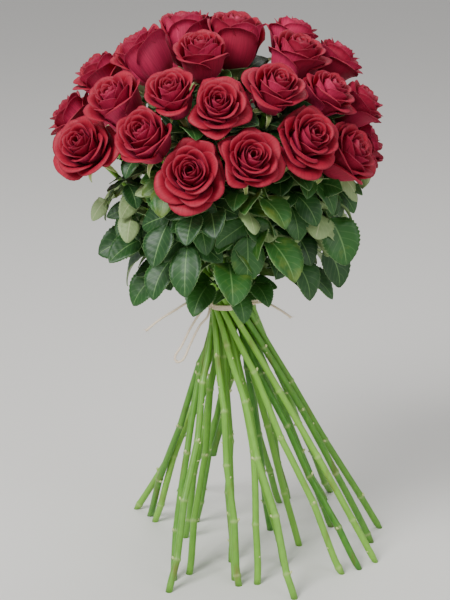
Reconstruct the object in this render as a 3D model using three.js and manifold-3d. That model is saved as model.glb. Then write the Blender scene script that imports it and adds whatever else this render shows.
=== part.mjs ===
// Twenty-eight red roses in a spiral hand-tied bunch. Every stem slants the same way round through the tie
// and spreads out below it, so the bunch stands unheld on its cut ends.
// Millimetres, +Z up, origin on the table under the middle of the bunch, the front towards -Y.
// Azimuths are degrees round +Z from +X, so -90 is the front. Tilts are degrees from upright.

import * as THREE from "three";
import { mergeVertices } from "three/addons/utils/BufferGeometryUtils.js";
import Module from "manifold-3d";

const wasm = await Module();
wasm.setup();

// ---- Driving sizes -------------------------------------------------------------------------------------

const CLEAR = 0.3; // left between any two pieces
const TIE = new THREE.Vector3(19, 0, 275); // middle of the binding point, where the twine goes round
const STAND = new THREE.Vector3(47, 0, 0); // middle of the ring of cut ends: the bunch leans a little to the left
const DOME = new THREE.Vector3(0, 0, 430); // middle of the dome that the heads stand on
const DOME_REACH = new THREE.Vector3(166, 146, 142); // from there to the faces of the heads, each way

const TO_ORIGIN = new THREE.Vector3(-10.2, -4, 0); // moves the middle of the whole width and depth to the origin

const SPIRAL = 0.0255; // slant of a stem at the tie, for each mm that it lies from the middle
const RING_RADII = [20.2, 13.1, 6.1]; // rings of stems at the tie: outer, middle, inner
const RING_TURNS = [25.5, 15, 62]; // azimuth of the first stem of each ring at the tie

const STEM_RADIUS = 3.4; // at the tie
const FOOT_RADIUS = 3.8;
const NECK_RADIUS = 2.6; // under the head
const STEM_SIDES = 5;

// ---- The roses -----------------------------------------------------------------------------------------
// In the order in which they lie round the tie, ring by ring, clockwise seen from above. head is the azimuth and
// tilt of the head's place on the dome, lift how far it stands out of the dome, face the way it looks where that
// isn't straight out, width in mm, open from 0 (cup) to 1 (full). foot is x and y of the cut end, where the
// spiral alone doesn't give it, and cut is the height of a stem that was cut short.

const ROSES = [
  [
    { head: [-50, 71], width: 74, open: 1, face: [-58, 58], foot: [-41, 152] },
    { head: [-76, 77], width: 66, open: 0.8, foot: [82, 131] },
    { head: [-98, 83], width: 74, open: 1, face: [-97, 62], foot: [131, 149] },
    { head: [-118, 68], width: 60, open: 0.4, foot: [180, 47] },
    { head: [-140, 55], width: 58, open: 0.4, foot: [168, 8] },
    { head: [-147, 77], width: 70, open: 1, face: [-122, 55], foot: [169, -43] },
    { head: [173, 71], width: 66, open: 0.7, foot: [132, -72] },
    { head: [135, 75], width: 68, open: 0.8, foot: [81, -132] },
    { head: [101, 78], width: 68, open: 0.7, foot: [25, -101] },
    { head: [68, 77], width: 68, open: 0.9, foot: [-46, -116] },
    { head: [38, 74], width: 66, open: 0.8, foot: [-42, -88] },
    { head: [6, 83], width: 62, open: 0.5, foot: [-72, 80] },
    { head: [-3, 65], width: 56, open: 0.5, lift: 8, foot: [-66, 64] },
    { head: [-26, 81], width: 62, open: 0.5, foot: [-88, 100] },
  ],
  [
    { head: [-57, 47], width: 64, open: 0.8, foot: [72, 118] },
    { head: [-88, 55], width: 66, open: 1, face: [-90, 50], foot: [124, 126] },
    { head: [-110, 49], width: 54, open: 0.5, foot: [127, 50] },
    { head: [178, 48], width: 60, open: 0.6, foot: [151, -61] },
    { head: [112, 44], width: 66, open: 0.7, foot: [44, -97] },
    { head: [75, 20], width: 56, open: 0.5, foot: [21, -87] },
    { head: [27, 33], width: 62, open: 0.75, lift: 12, foot: [-26, -73] },
    { head: [16, 49], width: 58, open: 0.6, lift: 16, foot: [-32, 21] },
    { head: [-24, 54], width: 62, open: 0.9 },
  ],
  [
    { head: [-12, 33], width: 60, open: 0.4, face: [-30, 22], foot: [-26, 46], cut: 92 },
    { head: [-100, 26], width: 52, open: 0.3 },
    { head: [-162, 31], width: 56, open: 0.15, face: [180, 34] },
    { head: [142, 13], width: 52, open: 0, face: [140, 6], foot: [73, -53] },
    { head: [-20, 9], width: 56, open: 0.1, face: [-20, 8], foot: [18, -42] },
  ],
];
const FACE_SHARE = 0.72; // a head looks out at this share of its place's tilt unless face says otherwise

// ---- Helpers -------------------------------------------------------------------------------------------

const { degToRad, radToDeg, lerp, smoothstep } = THREE.MathUtils;
const BACK = new THREE.Vector3(0, 1, 0);
const group = new THREE.Group();

// A unit vector that leans by tilt from upright towards azimuth.
function towards(azimuth, tilt) {
  const [a, t] = [degToRad(azimuth), degToRad(tilt)];
  return new THREE.Vector3(Math.sin(t) * Math.cos(a), Math.sin(t) * Math.sin(a), Math.cos(t));
}

// A frame at point with its z along axis and its x as near to +X as it goes, then turned by spin degrees.
function frameAt(point, axis, spin = 0) {
  const x = new THREE.Vector3().crossVectors(BACK, axis).normalize().applyAxisAngle(axis, degToRad(spin));
  const y = new THREE.Vector3().crossVectors(axis, x);
  return new THREE.Matrix4().makeBasis(x, y, axis).setPosition(point);
}

// An even spread of values from -1 to 1 over n, in place of a random draw.
const GOLDEN = 0.6180339887;
const spread = (n) => 2 * ((n * GOLDEN) % 1) - 1;

// A closed surface through rows of points. A row is a ring, with as many points as the last, twice or half as
// many, or a single point at an end.
function skin(rows) {
  const index = [];
  let start = 0;
  for (let r = 0; r + 1 < rows.length; r++) {
    const [n, m] = [rows[r].length, rows[r + 1].length];
    const next = start + n;
    const count = Math.max(n, m);
    for (let c = 0; c < count; c++) {
      const [a, b] = [start + Math.floor((c * n) / count), start + (Math.floor(((c + 1) * n) / count) % n)];
      const [d, e] = [next + Math.floor((c * m) / count), next + (Math.floor(((c + 1) * m) / count) % m)];
      if (a !== b) index.push(a, b, e);
      if (d !== e) index.push(a, e, d);
    }
    start = next;
  }
  return new THREE.BufferGeometry().setFromPoints(rows.flat()).setIndex(index);
}

// A closed mesh as a solid, and back.
function solidOf(geometry) {
  const bare = geometry.clone();
  bare.deleteAttribute("normal");
  bare.deleteAttribute("uv");
  const merged = mergeVertices(bare, 1e-4);
  return new wasm.Manifold(
    new wasm.Mesh({
      numProp: 3,
      vertProperties: merged.attributes.position.array,
      triVerts: new Uint32Array(merged.index.array),
    }),
  );
}

function geometryOf(solid) {
  const mesh = solid.getMesh();
  return new THREE.BufferGeometry()
    .setAttribute("position", new THREE.BufferAttribute(mesh.vertProperties, 3))
    .setIndex(new THREE.BufferAttribute(mesh.triVerts, 1));
}

// One piece of the bunch.
function add(name, geometry, color, roughness) {
  const material = new THREE.MeshStandardMaterial({ color, roughness, metalness: 0 });
  const mesh = new THREE.Mesh(geometry, material);
  mesh.name = name;
  mesh.position.copy(TO_ORIGIN);
  group.add(mesh);
}

// ---- Where each rose goes ------------------------------------------------------------------------------

const RIM_RADIUS = [25, 34]; // of a head drawn at its full size, as a cup and fully open
const HEAD_HEIGHT = [54, 46]; // and its height

// Where a stem that lies at slot in the tie goes past a lower height, if it follows the spiral alone.
function spiralPoint(slot, z) {
  const drop = TIE.z - z;
  const middle = new THREE.Vector3().lerpVectors(TIE, STAND, drop / TIE.z);
  const swing = new THREE.Vector3(-slot.y, slot.x, 0).multiplyScalar(SPIRAL * drop);
  return middle.add(slot).add(swing);
}

function place(rose, ring, index) {
  const [azimuth, tilt] = rose.head;
  const outward = towards(azimuth, tilt);
  const face = outward.clone().multiply(DOME_REACH).add(DOME).addScaledVector(outward, rose.lift ?? 0);
  const axis = towards(...(rose.face ?? [azimuth, tilt * FACE_SHARE]));
  const scale = rose.width / 2 / lerp(...RIM_RADIUS, rose.open);
  const height = scale * lerp(...HEAD_HEIGHT, rose.open);
  const seat = face.addScaledVector(axis, -height);
  const slot = towards(RING_TURNS[ring] - (index * 360) / ROSES[ring].length, 90).multiplyScalar(RING_RADII[ring]);
  const sway = new THREE.Vector3();
  if (rose.foot) sway.set(...rose.foot, 0).sub(spiralPoint(slot, 0));
  return { ...rose, cut: rose.cut ?? 0, ring, index, axis, scale, height, seat, slot, sway };
}

const roses = ROSES.flatMap((list, ring) => list.map((rose, index) => place(rose, ring, index)));
roses.forEach((rose, n) => (rose.name = `rose_${String(n + 1).padStart(2, "0")}`));

// ---- Stem lines ----------------------------------------------------------------------------------------

// From the cut end nearly straight up through the tie, then bending out to meet the head along its axis.
const BEND_START = 0.85; // how strongly the curve holds its direction at the tie
const BEND_END = 0.75; // and under the head

function lowerPoint({ slot, sway }, z) {
  return spiralPoint(slot, z).addScaledVector(sway, (1 - z / TIE.z) ** 2);
}

function upperCurve({ slot, seat, axis }) {
  const start = spiralPoint(slot, TIE.z);
  const rise = start.clone().sub(spiralPoint(slot, TIE.z - 1)).normalize();
  const pull = start.distanceTo(seat) / 3;
  const first = start.clone().addScaledVector(rise, pull * BEND_START);
  const second = seat.clone().addScaledVector(axis, -pull * BEND_END);
  return new THREE.CubicBezierCurve3(start, first, second, seat);
}

// ---- Heads pressed together ----------------------------------------------------------------------------

// Each head keeps to its own side of a plane between it and each neighbour. Its reach is an oval round its
// middle, and it shrinks towards the middle wherever the oval crosses a plane.
const MIDDLE = 0.55; // of a head's height
const ROUND = 1.08; // the oval is wider than the rim by this

for (const rose of roses) {
  rose.middle = rose.seat.clone().addScaledVector(rose.axis, rose.height * MIDDLE);
  rose.oval = [(rose.width / 2) * ROUND, rose.height * MIDDLE];
}

function ovalReach(rose, direction) {
  const along = direction.dot(rose.axis);
  const across = Math.sqrt(Math.max(0, 1 - along ** 2));
  return 1 / Math.hypot(along / rose.oval[1], across / rose.oval[0]);
}

for (const rose of roses) {
  rose.planes = [];
  for (const other of roses) {
    const normal = other.middle.clone().sub(rose.middle);
    const apart = normal.length();
    if (other === rose || apart > rose.oval[0] + other.oval[0]) continue;
    normal.normalize();
    const mine = ovalReach(rose, normal);
    const share = mine / (mine + ovalReach(other, normal));
    rose.planes.push({ normal, reach: apart * share - CLEAR / 2 });
  }
}

function pressed(rose, point) {
  const out = point.clone().sub(rose.middle);
  const length = out.length();
  const direction = out.divideScalar(length);
  let room = Infinity;
  for (const { normal, reach } of rose.planes) {
    const facing = direction.dot(normal);
    if (facing > 0) room = Math.min(room, reach / facing);
  }
  const shrunk = length * Math.min(1, room / ovalReach(rose, direction));
  return rose.middle.clone().addScaledVector(direction, Math.min(shrunk, room));
}

// ---- Petals --------------------------------------------------------------------------------------------

// One surface, from under the head up over the outermost petals and down and up again behind each layer to the
// middle. Radius and height as a cup and fully open, then how far one petal's edge stands over the next (lap)
// and how deep the notches between petals are.
const PETAL_ROWS = [
  { radius: [22, 28], height: [20, 12], lap: 1.2 },
  { radius: [25, 34], height: [45, 27], lap: 1.8, notch: 7, petals: 5 },
  { radius: [19, 25], height: [40, 25], inner: true },
  { radius: [18, 24], height: [50, 37], lap: 1.6, notch: 5, petals: 5 },
  { radius: [13, 16], height: [44, 31], inner: true },
  { radius: [12, 14.5], height: [53, 43], lap: 1.4, notch: 4, petals: 4 },
  { radius: [7.5, 8.5], height: [47, 36], inner: true, sides: 10 },
  { radius: [5, 6], height: [54, 45], lap: 0.8, notch: 2.5, petals: 2, sides: 10 },
];
const PETAL_SIDES = 20;
const PETAL_MIDDLE = [50, 41]; // height of the dip in the middle
const LAYER_TURN = 0.5; // each layer starts this far round a petal from the last
const PETAL_RED = 0xa3102a;

function headGeometry(rose) {
  const frame = frameAt(rose.seat, rose.axis, rose.turn);
  const shaped = (x, y, z) =>
    pressed(rose, new THREE.Vector3(x, y, z).multiplyScalar(rose.scale).applyMatrix4(frame));
  const rows = [[shaped(0, 0, CLEAR / rose.scale)]];
  let layer = 0;
  for (const row of PETAL_ROWS) {
    const { lap = 0, notch = 0, petals = 5, sides = PETAL_SIDES } = row;
    if (row.inner) layer++;
    const ring = [];
    for (let k = 0; k < sides; k++) {
      const angle = (2 * Math.PI * k) / sides;
      const across = ((k * petals) / sides + layer * LAYER_TURN) % 1; // of its petal
      const radius = lerp(...row.radius, rose.open) + lap * (2 * across - 0.75);
      const height = lerp(...row.height, rose.open) - notch * (1 - Math.sin(Math.PI * across)) ** 2;
      ring.push(shaped(radius * Math.cos(angle), radius * Math.sin(angle), height));
    }
    rows.push(ring);
  }
  rows.push([shaped(0, 0, lerp(...PETAL_MIDDLE, rose.open))]);
  return skin(rows);
}

// ---- Stems, hips and sepals ----------------------------------------------------------------------------

const LOWER_STEPS = 3;
const UPPER_STEPS = 4;
const HIP = { radius: 5.4, height: 4, depth: 9 }; // the swelling under the petals, and where it is widest
const SEPAL = { root: 4.4, reach: 18, drop: 8 };
const STEM_GREEN = 0x5d8a2f;

function ringAround(frame, sides, radius, z) {
  const ring = [];
  for (let k = 0; k < sides; k++) {
    const angle = (2 * Math.PI * k) / sides;
    ring.push(new THREE.Vector3(radius * Math.cos(angle), radius * Math.sin(angle), z).applyMatrix4(frame));
  }
  return ring;
}

function tubeRows(points, radii, sides) {
  const rows = points.map((point, k) => {
    const ahead = points[Math.min(k + 1, points.length - 1)];
    const behind = points[Math.max(k - 1, 0)];
    return ringAround(frameAt(point, ahead.clone().sub(behind).normalize()), sides, radii[k], 0);
  });
  return [[points[0]], ...rows];
}

// A sepal's tip, drawn in towards its root until it is clear of the neighbouring heads.
function shortened(rose, root, tip) {
  const end = tip.clone();
  const crossing = ({ normal, reach }) => end.clone().sub(rose.middle).dot(normal) > reach;
  while (rose.planes.some(crossing) && end.distanceTo(root) > 3) end.lerp(root, 0.1);
  return end;
}

// The stem with the hip on it, and the five sepals round the hip as a star, bent out and down.
function stemGeometry(rose) {
  const points = [];
  for (let k = 0; k < LOWER_STEPS; k++) points.push(lowerPoint(rose, lerp(rose.cut, TIE.z, k / LOWER_STEPS)));
  points.push(...upperCurve(rose).getPoints(UPPER_STEPS));
  points.pop();
  points.push(rose.seat.clone().addScaledVector(rose.axis, -HIP.depth));
  const radii = points.map((point, k) =>
    k < LOWER_STEPS
      ? lerp(FOOT_RADIUS, STEM_RADIUS, k / LOWER_STEPS)
      : lerp(STEM_RADIUS, NECK_RADIUS, (k - LOWER_STEPS) / UPPER_STEPS),
  );
  const rows = tubeRows(points, radii, STEM_SIDES);
  const rise = points[1].clone().sub(points[0]);
  for (const point of rows[1]) point.addScaledVector(rise, (rose.cut - point.z) / rise.z); // a level cut
  const frame = frameAt(rose.seat, rose.axis);
  rows.push(ringAround(frame, 2 * STEM_SIDES, HIP.radius, -HIP.height));
  const roots = ringAround(frame, 2 * STEM_SIDES, SEPAL.root, -1);
  const tips = ringAround(frame, 2 * STEM_SIDES, SEPAL.reach, -SEPAL.drop);
  rows.push(roots.map((root, k) => (k % 2 === 0 ? shortened(rose, root, tips[k]) : root)));
  rows.push([rose.seat.clone()]);
  return skin(rows);
}

// ---- Leaves --------------------------------------------------------------------------------------------

// Three toothed leaflets on a leaf stalk, arching out and down from the stems of the outer ring. They come
// in bands one above the other, one leaf to every second stem, and each leaf keeps to its own sector of its band.
const LEAF_BANDS = [
  { height: 304, first: 0, aside: 1, rise: 23, droop: 60, length: 86 },
  { height: 338, first: 0, aside: -4, rise: 4, droop: 63, length: 90 },
  { height: 369, first: 1, aside: 16, rise: -11, droop: 48, length: 90 },
  { height: 399, first: 1, aside: -3, rise: -40, droop: 39, length: 88 },
  { height: 409, first: 0, aside: -3, rise: -27, droop: 33, length: 69 },
];
const SECTOR = 25; // degrees each way
const SHORTER_LEFT = 0.16; // the collar of leaves reaches less far to the left, by up to this share
const SMALL_LEAVES = [[2, 0], [5, 2], [5, 3]]; // rose and band, from 0: over the twine's right end, and far left
const SMALL_SHARE = 0.64; // of the length of the others in the band
const LEAFLETS = { end: 0.55, side: 0.48, width: 0.64, turn: 58 }; // lengths as shares of the leaf's
const STALK = { length: 0.5, radius: 1.2, pair: 0.64 }; // and where the side leaflets sit on the stalk
const BLADE = 1.2; // thick along the midrib, thinning to the edges
const FOLD = 0.22; // a leaflet's halves rise from the midrib by this
const SAG = 0.15; // and its tip hangs by this
const END_TEETH = [0.24, 0.48, 0.72]; // along each side of the leaflet at the end
const SIDE_TEETH = [0.34, 0.66]; // and of the others

// A leaflet lying flat, from its root at the origin along +X.
function leafletRows(length, teeth) {
  const half = (t) => (LEAFLETS.width / 2) * length * Math.sin(Math.PI * t ** 0.8) ** 0.8;
  const cross = (t, reach) => {
    const sag = -SAG * length * t * t;
    return [
      new THREE.Vector3(length * t, reach, sag + FOLD * reach),
      new THREE.Vector3(length * t, 0, sag + BLADE / 2),
      new THREE.Vector3(length * t, -reach, sag + FOLD * reach),
      new THREE.Vector3(length * t, 0, sag - BLADE / 2),
    ];
  };
  const rows = [[new THREE.Vector3(0, 0, 0)]];
  teeth.forEach((t, k) => {
    rows.push(cross(t, half(t)));
    if (k < teeth.length - 1) rows.push(cross(t + 0.07, half(t + 0.07) * 0.8));
  });
  rows.push([new THREE.Vector3(length, 0, -SAG * length)]);
  return rows;
}

// Where the stems' common middle is at a height above the tie.
function middleAt(z) {
  return TIE.clone().lerp(DOME, (z - TIE.z) / (DOME.z - TIE.z));
}

// An angle off the middle of a sector, eased so that it stays inside, both in sectors.
function eased(off) {
  const size = Math.abs(off);
  return Math.sign(off) * (size < 0.5 ? size : 1 - 0.5 * Math.exp(1 - 2 * size));
}

function leafSolid(rose, band, n, share) {
  const azimuth = RING_TURNS[0] - (rose.index * 360) / ROSES[0].length + band.aside;
  const centre = azimuth - radToDeg(Math.atan(SPIRAL * (band.height - TIE.z)));
  const height = band.height + 6 * spread(n + 3);
  const curve = upperCurve(rose);
  let along = 0;
  while (curve.getPoint(along).z < height) along += 0.01;
  const root = curve.getPoint(along);
  const out = towards(centre, 90);
  const side = new THREE.Vector3(-out.y, out.x, 0);
  const rise = degToRad(band.rise + 8 * spread(n));
  const bend = degToRad(band.droop + 15 * spread(n + 7)) / band.length;
  const size = share * band.length * (1 + 0.1 * spread(n + 1)) * (1 + SHORTER_LEFT * Math.min(0, out.x));

  // Bends a flat leaf, which runs along +X, down along its length, and eases it into its sector.
  const placed = ({ x, y, z }) => {
    const slope = rise - bend * x;
    const reach = (Math.sin(rise) - Math.sin(slope)) / bend - z * Math.sin(slope);
    const lift = (Math.cos(slope) - Math.cos(rise)) / bend + z * Math.cos(slope);
    const point = root.clone().addScaledVector(out, reach).addScaledVector(side, y);
    point.z += lift;
    const middle = middleAt(point.z);
    const flat = point.clone().sub(middle);
    const off = radToDeg(Math.atan2(flat.dot(side), flat.dot(out)));
    const turned = towards(centre + SECTOR * eased(off / SECTOR), 90).multiplyScalar(flat.length()).add(middle);
    return point.lerp(turned, smoothstep(x, 0, size * STALK.length * 0.6));
  };

  const stalk = size * STALK.length;
  const line = [0, STALK.pair / 2, STALK.pair, 1].map((t) => new THREE.Vector3(t * stalk, 0, 0));
  const stalkRows = tubeRows(line, line.map(() => STALK.radius), 3);
  stalkRows.push([new THREE.Vector3(stalk + 1, 0, 0)]);
  const blades = [
    { at: stalk - 1, turn: 0, length: LEAFLETS.end, teeth: END_TEETH },
    { at: stalk * STALK.pair, turn: LEAFLETS.turn, length: LEAFLETS.side, teeth: SIDE_TEETH },
    { at: stalk * STALK.pair, turn: -LEAFLETS.turn, length: LEAFLETS.side, teeth: SIDE_TEETH },
  ];
  let solid = solidOf(skin(stalkRows.map((row) => row.map(placed))));
  for (const { at, turn, length, teeth } of blades) {
    const set = new THREE.Matrix4().makeRotationZ(degToRad(turn)).setPosition(at, 0, 0);
    const rows = leafletRows(length * size, teeth);
    solid = solid.add(solidOf(skin(rows.map((row) => row.map((point) => placed(point.applyMatrix4(set)))))));
  }
  return solid;
}

// ---- Twine ---------------------------------------------------------------------------------------------

// Jute twine, wound three times round the stems at the tie and knotted, with a loop and two short ends left.
const TWINE = 2.4; // thick
const TURNS = 3;
const BINDING = { inner: 24.5, knot: 214 }; // radius inside the turns, and the azimuth of the knot
const TWINE_TAN = 0xcdb892;

const [TWINE_LOOP, TWINE_LEFT_END, TWINE_RIGHT_END] = [
  [
    [-6.8, -18.7, 274.2],
    [-14, -25, 269],
    [-24, -29, 254],
    [-33, -31, 236],
    [-40, -31, 224],
    [-38, -32, 218],
    [-31, -32, 222],
    [-24, -31, 238],
    [-15, -30, 256],
    [-7, -27, 265],
    [-4.6, -20.3, 271.6],
  ],
  [
    [-8.2, -16.7, 276.3],
    [-24, -23, 280],
    [-40, -27, 272],
    [-56, -28, 262],
    [-70, -27, 250],
  ],
  [
    [40.4, -16.2, 276],
    [52, -30, 281],
    [65, -42, 278],
    [78, -46, 270],
  ],
].map((list) => list.map((point) => new THREE.Vector3(...point)));

function twineTube(points) {
  const path = new THREE.CatmullRomCurve3(points);
  const corners = [];
  for (let k = 0; k < 8; k++) {
    const angle = (Math.PI * k) / 4;
    corners.push(new THREE.Vector2(Math.cos(angle), Math.sin(angle)).multiplyScalar(TWINE / 2));
  }
  const steps = Math.round(path.getLength() / (3 * TWINE));
  return new THREE.ExtrudeGeometry(new THREE.Shape(corners), { steps, bevelEnabled: false, extrudePath: path });
}

function bindingGeometry() {
  const outer = BINDING.inner + TWINE;
  const profile = [new THREE.Vector2(BINDING.inner, (-TURNS * TWINE) / 2)];
  for (let k = 0; k < TURNS; k++) {
    if (k > 0) profile.push(new THREE.Vector2(outer - 0.8, TWINE * (k - TURNS / 2)));
    profile.push(new THREE.Vector2(outer, TWINE * (k + 0.5 - TURNS / 2)));
  }
  profile.push(new THREE.Vector2(BINDING.inner, (TURNS * TWINE) / 2));
  profile.push(profile[0].clone());
  const lean = TIE.clone().sub(STAND).normalize();
  const ring = new THREE.LatheGeometry(profile, 16).rotateX(Math.PI / 2).applyMatrix4(frameAt(TIE, lean));
  const knot = new THREE.IcosahedronGeometry(3.6).scale(1.3, 1, 1.1);
  const seat = towards(BINDING.knot, 90).multiplyScalar(outer + 1).add(TIE);
  return geometryOf(solidOf(ring).add(solidOf(knot.translate(...seat.toArray()))));
}

// ---- Building ------------------------------------------------------------------------------------------

roses.forEach((rose, n) => {
  rose.turn = 180 * spread(n);
  add(`${rose.name}_head`, headGeometry(rose), PETAL_RED, 0.7);
  let stem = solidOf(stemGeometry(rose));
  LEAF_BANDS.forEach((band, level) => {
    if (rose.ring !== 0 || rose.index % 2 !== band.first) return;
    const small = SMALL_LEAVES.some(([number, at]) => number === n && at === level);
    stem = stem.add(leafSolid(rose, band, n + level, small ? SMALL_SHARE : 1));
  });
  add(`${rose.name}_stem`, geometryOf(stem), STEM_GREEN, 0.55);
});
add("twine_binding", bindingGeometry(), TWINE_TAN, 0.95);
add("twine_loop", twineTube(TWINE_LOOP), TWINE_TAN, 0.95);
add("twine_left_end", twineTube(TWINE_LEFT_END), TWINE_TAN, 0.95);
add("twine_right_end", twineTube(TWINE_RIGHT_END), TWINE_TAN, 0.95);

export default group;
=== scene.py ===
import math
import random

import bmesh
import bpy
from mathutils import Matrix, Vector
from mathutils.geometry import interpolate_bezier


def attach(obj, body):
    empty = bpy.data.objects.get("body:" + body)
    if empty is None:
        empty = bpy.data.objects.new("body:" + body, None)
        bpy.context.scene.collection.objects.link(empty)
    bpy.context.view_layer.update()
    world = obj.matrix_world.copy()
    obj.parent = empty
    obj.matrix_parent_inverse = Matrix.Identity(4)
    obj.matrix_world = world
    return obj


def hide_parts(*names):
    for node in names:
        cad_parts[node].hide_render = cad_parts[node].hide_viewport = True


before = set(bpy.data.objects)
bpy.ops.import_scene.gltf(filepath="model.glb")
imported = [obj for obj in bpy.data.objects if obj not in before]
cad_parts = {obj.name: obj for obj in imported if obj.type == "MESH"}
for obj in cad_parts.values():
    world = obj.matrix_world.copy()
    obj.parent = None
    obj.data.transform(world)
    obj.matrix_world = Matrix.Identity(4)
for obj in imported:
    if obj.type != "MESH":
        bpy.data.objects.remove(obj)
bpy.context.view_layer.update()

# ---- Camera ----
# The bunch is seen from the front and a little above, from two metres off, so the dome of heads looks nearly
# flat and the feet are seen from above.

camera = bpy.data.objects.new("camera", bpy.data.cameras.new("camera"))
camera.location = (0.0008, -1.984, 0.880)
camera.rotation_euler = (math.radians(73), 0, 0)
camera.data.lens = 120.4  # mm, on a frame whose long side is 36 mm
bpy.context.scene.collection.objects.link(camera)
bpy.context.scene.camera = camera

# ---- Twine: the loop and the two free ends ----
# Natural jute twine of three strands laid round each other, dry and hairy. The loop and the two ends are what
# the knot leaves over. They come out of it at the front, limp, and rest on the leaves and stems.

MM = 0.001
TO_ORIGIN = Vector((-10.2, -4, 0))  # every piece is worked in mm from the foot of the dome, then moved by this
TWINE = 2.4  # mm thick
TWINE_SIDES = 12
STRANDS = 3
STRAND_VALLEY, STRAND_RIDGE = 0.86, 0.16  # of the radius: down between two strands, and from there up
LAY = 9  # mm in which a strand goes once round
FIBRES_PER_MM = 1.6
FIBRE_ROOT, FIBRE_TIP = 0.09, 0.03  # radius of a loose fibre
JUTE, JUTE_SHADE, JUTE_PALE = 0xF0DEC6, 0xC9AE8C, 0xFBF1E0


def linear(code):
    """An sRGB hex colour as linear values with full opacity."""
    parts = [(code >> shift & 255) / 255 for shift in (16, 8, 0)]
    return tuple(c / 12.92 if c <= 0.04045 else ((c + 0.055) / 1.055) ** 2.4 for c in parts) + (1,)


def finish_named(name, **sockets):
    """A new material, whose uniform values are set on its shader's own sockets."""
    material = bpy.data.materials.new(name)
    material.use_nodes = True
    shader = material.node_tree.nodes["Principled BSDF"]
    for socket, value in sockets.items():
        shader.inputs[socket.replace("_", " ")].default_value = value
    return material


def add_node(material, kind, inputs, **settings):
    """A node with its settings, and values or other nodes' outputs on its inputs."""
    made = material.node_tree.nodes.new("ShaderNode" + kind)
    for key, value in settings.items():
        setattr(made, key, value)
    for socket, value in inputs.items():
        if isinstance(value, bpy.types.NodeSocket):
            material.node_tree.links.new(value, made.inputs[socket])
        else:
            made.inputs[socket].default_value = value
    return made


def place_in(material):
    """Where a point is on its piece, in metres."""
    return add_node(material, "TexCoord", {}).outputs["Object"]


def noise(material, place, spacing, detail=2.0):
    """Soft spots from 0 to 1, about as far apart as spacing."""
    return add_node(material, "TexNoise", {"Vector": place, "Scale": 1 / spacing, "Detail": detail}).outputs[0]


def blend(material, share, first, second):
    """One colour passing into another by a share. A colour is a hex code or another node's output."""
    ends = [linear(colour) if isinstance(colour, int) else colour for colour in (first, second)]
    return add_node(material, "Mix", {0: share, 6: ends[0], 7: ends[1]}, data_type="RGBA").outputs[2]


def relief(material, height, depth, strength, **settings):
    """Small bumps that are as deep as depth, in metres, where height goes from 0 to 1."""
    sockets = {"Height": height, "Distance": depth, "Strength": strength}
    return add_node(material, "Bump", sockets, **settings).outputs[0]


def give(material, **sockets):
    """Joins outputs of nodes to the material's shader."""
    shader = material.node_tree.nodes["Principled BSDF"]
    for socket, value in sockets.items():
        material.node_tree.links.new(value, shader.inputs[socket.replace("_", " ")])


def new_mesh():
    """An empty mesh whose points carry where they are on their piece: along and across it, which side, tone."""
    bm = bmesh.new()
    marks = {name: bm.verts.layers.float.new(name) for name in ("along", "across", "side", "tone")}
    marks["facing"] = bm.verts.layers.float_vector.new("facing")
    return bm, marks


def to_piece(bm, name, materials, nodes):
    """A finished mesh, in mm, as a piece of the bunch that stands for CAD nodes."""
    bm.verts.layers.float_vector.remove(bm.verts.layers.float_vector["facing"])
    bmesh.ops.translate(bm, verts=bm.verts, vec=TO_ORIGIN)
    bmesh.ops.scale(bm, verts=bm.verts, vec=(MM, MM, MM))
    mesh = bpy.data.meshes.new(name)
    bm.to_mesh(mesh)
    bm.free()
    mesh.shade_smooth()
    for material in materials:
        mesh.materials.append(material)
    piece = bpy.data.objects.new(name, mesh)
    bpy.context.scene.collection.objects.link(piece)
    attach(piece, "root")
    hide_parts(*nodes)
    return piece


def curve_through(points, steps):
    """A smooth line through points, with steps between each two."""
    line = [points[0]]
    last = len(points) - 1
    for k in range(last):
        start, end = points[k], points[k + 1]
        leave = (end - points[max(k - 1, 0)]) / 6
        arrive = (points[min(k + 2, last)] - start) / 6
        line += interpolate_bezier(start, start + leave, end - arrive, end, steps + 1)[1:]
    return line


def length_of(line):
    return sum((b - a).length for a, b in zip(line, line[1:]))


def polar(radius, angle, z=0):
    return Vector((radius * math.cos(angle), radius * math.sin(angle), z))


def set_along(point, direction):
    """A frame at a point with its z in a direction."""
    return Matrix.Translation(point) @ direction.to_track_quat("Z", "Y").to_matrix().to_4x4()


def frames_along(line):
    """A frame at each point of a line, with its z ahead and as little turn about it as can be."""
    ahead = (line[1] - line[0]).normalized()
    turn = ahead.to_track_quat("Z", "Y")
    frames = []
    for k, point in enumerate(line):
        direction = (line[min(k + 1, len(line) - 1)] - line[max(k - 1, 0)]).normalized()
        turn = ahead.rotation_difference(direction) @ turn
        ahead = direction
        frames.append(Matrix.Translation(point) @ turn.to_matrix().to_4x4())
    return frames


def draw_out(bm, marks, line, sides, radius):
    """A closed tube along a line: radius(k, angle) is its reach at the line's point k. Gives its first end."""
    frames = frames_along(line)
    ring = bmesh.ops.create_circle(bm, cap_ends=True, segments=sides, radius=1)["verts"]
    for vert in ring:
        vert[marks["across"]] = math.atan2(vert.co.y, vert.co.x)
    edges = list({edge for vert in ring for edge in vert.link_edges})
    first_face = ring[0].link_faces[0]
    for k, place in enumerate(frames):
        if k:
            made = bmesh.ops.extrude_edge_only(bm, edges=edges)["geom"]
            ring = [part for part in made if isinstance(part, bmesh.types.BMVert)]
            edges = [
                part for part in made if isinstance(part, bmesh.types.BMEdge) and set(part.verts) <= set(ring)
            ]
        for vert in ring:
            angle = vert[marks["across"]]
            vert.co = place @ polar(radius(k, angle), angle)
            vert[marks["along"]] = k / (len(frames) - 1)
    bmesh.ops.contextual_create(bm, geom=edges)
    return first_face


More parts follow.
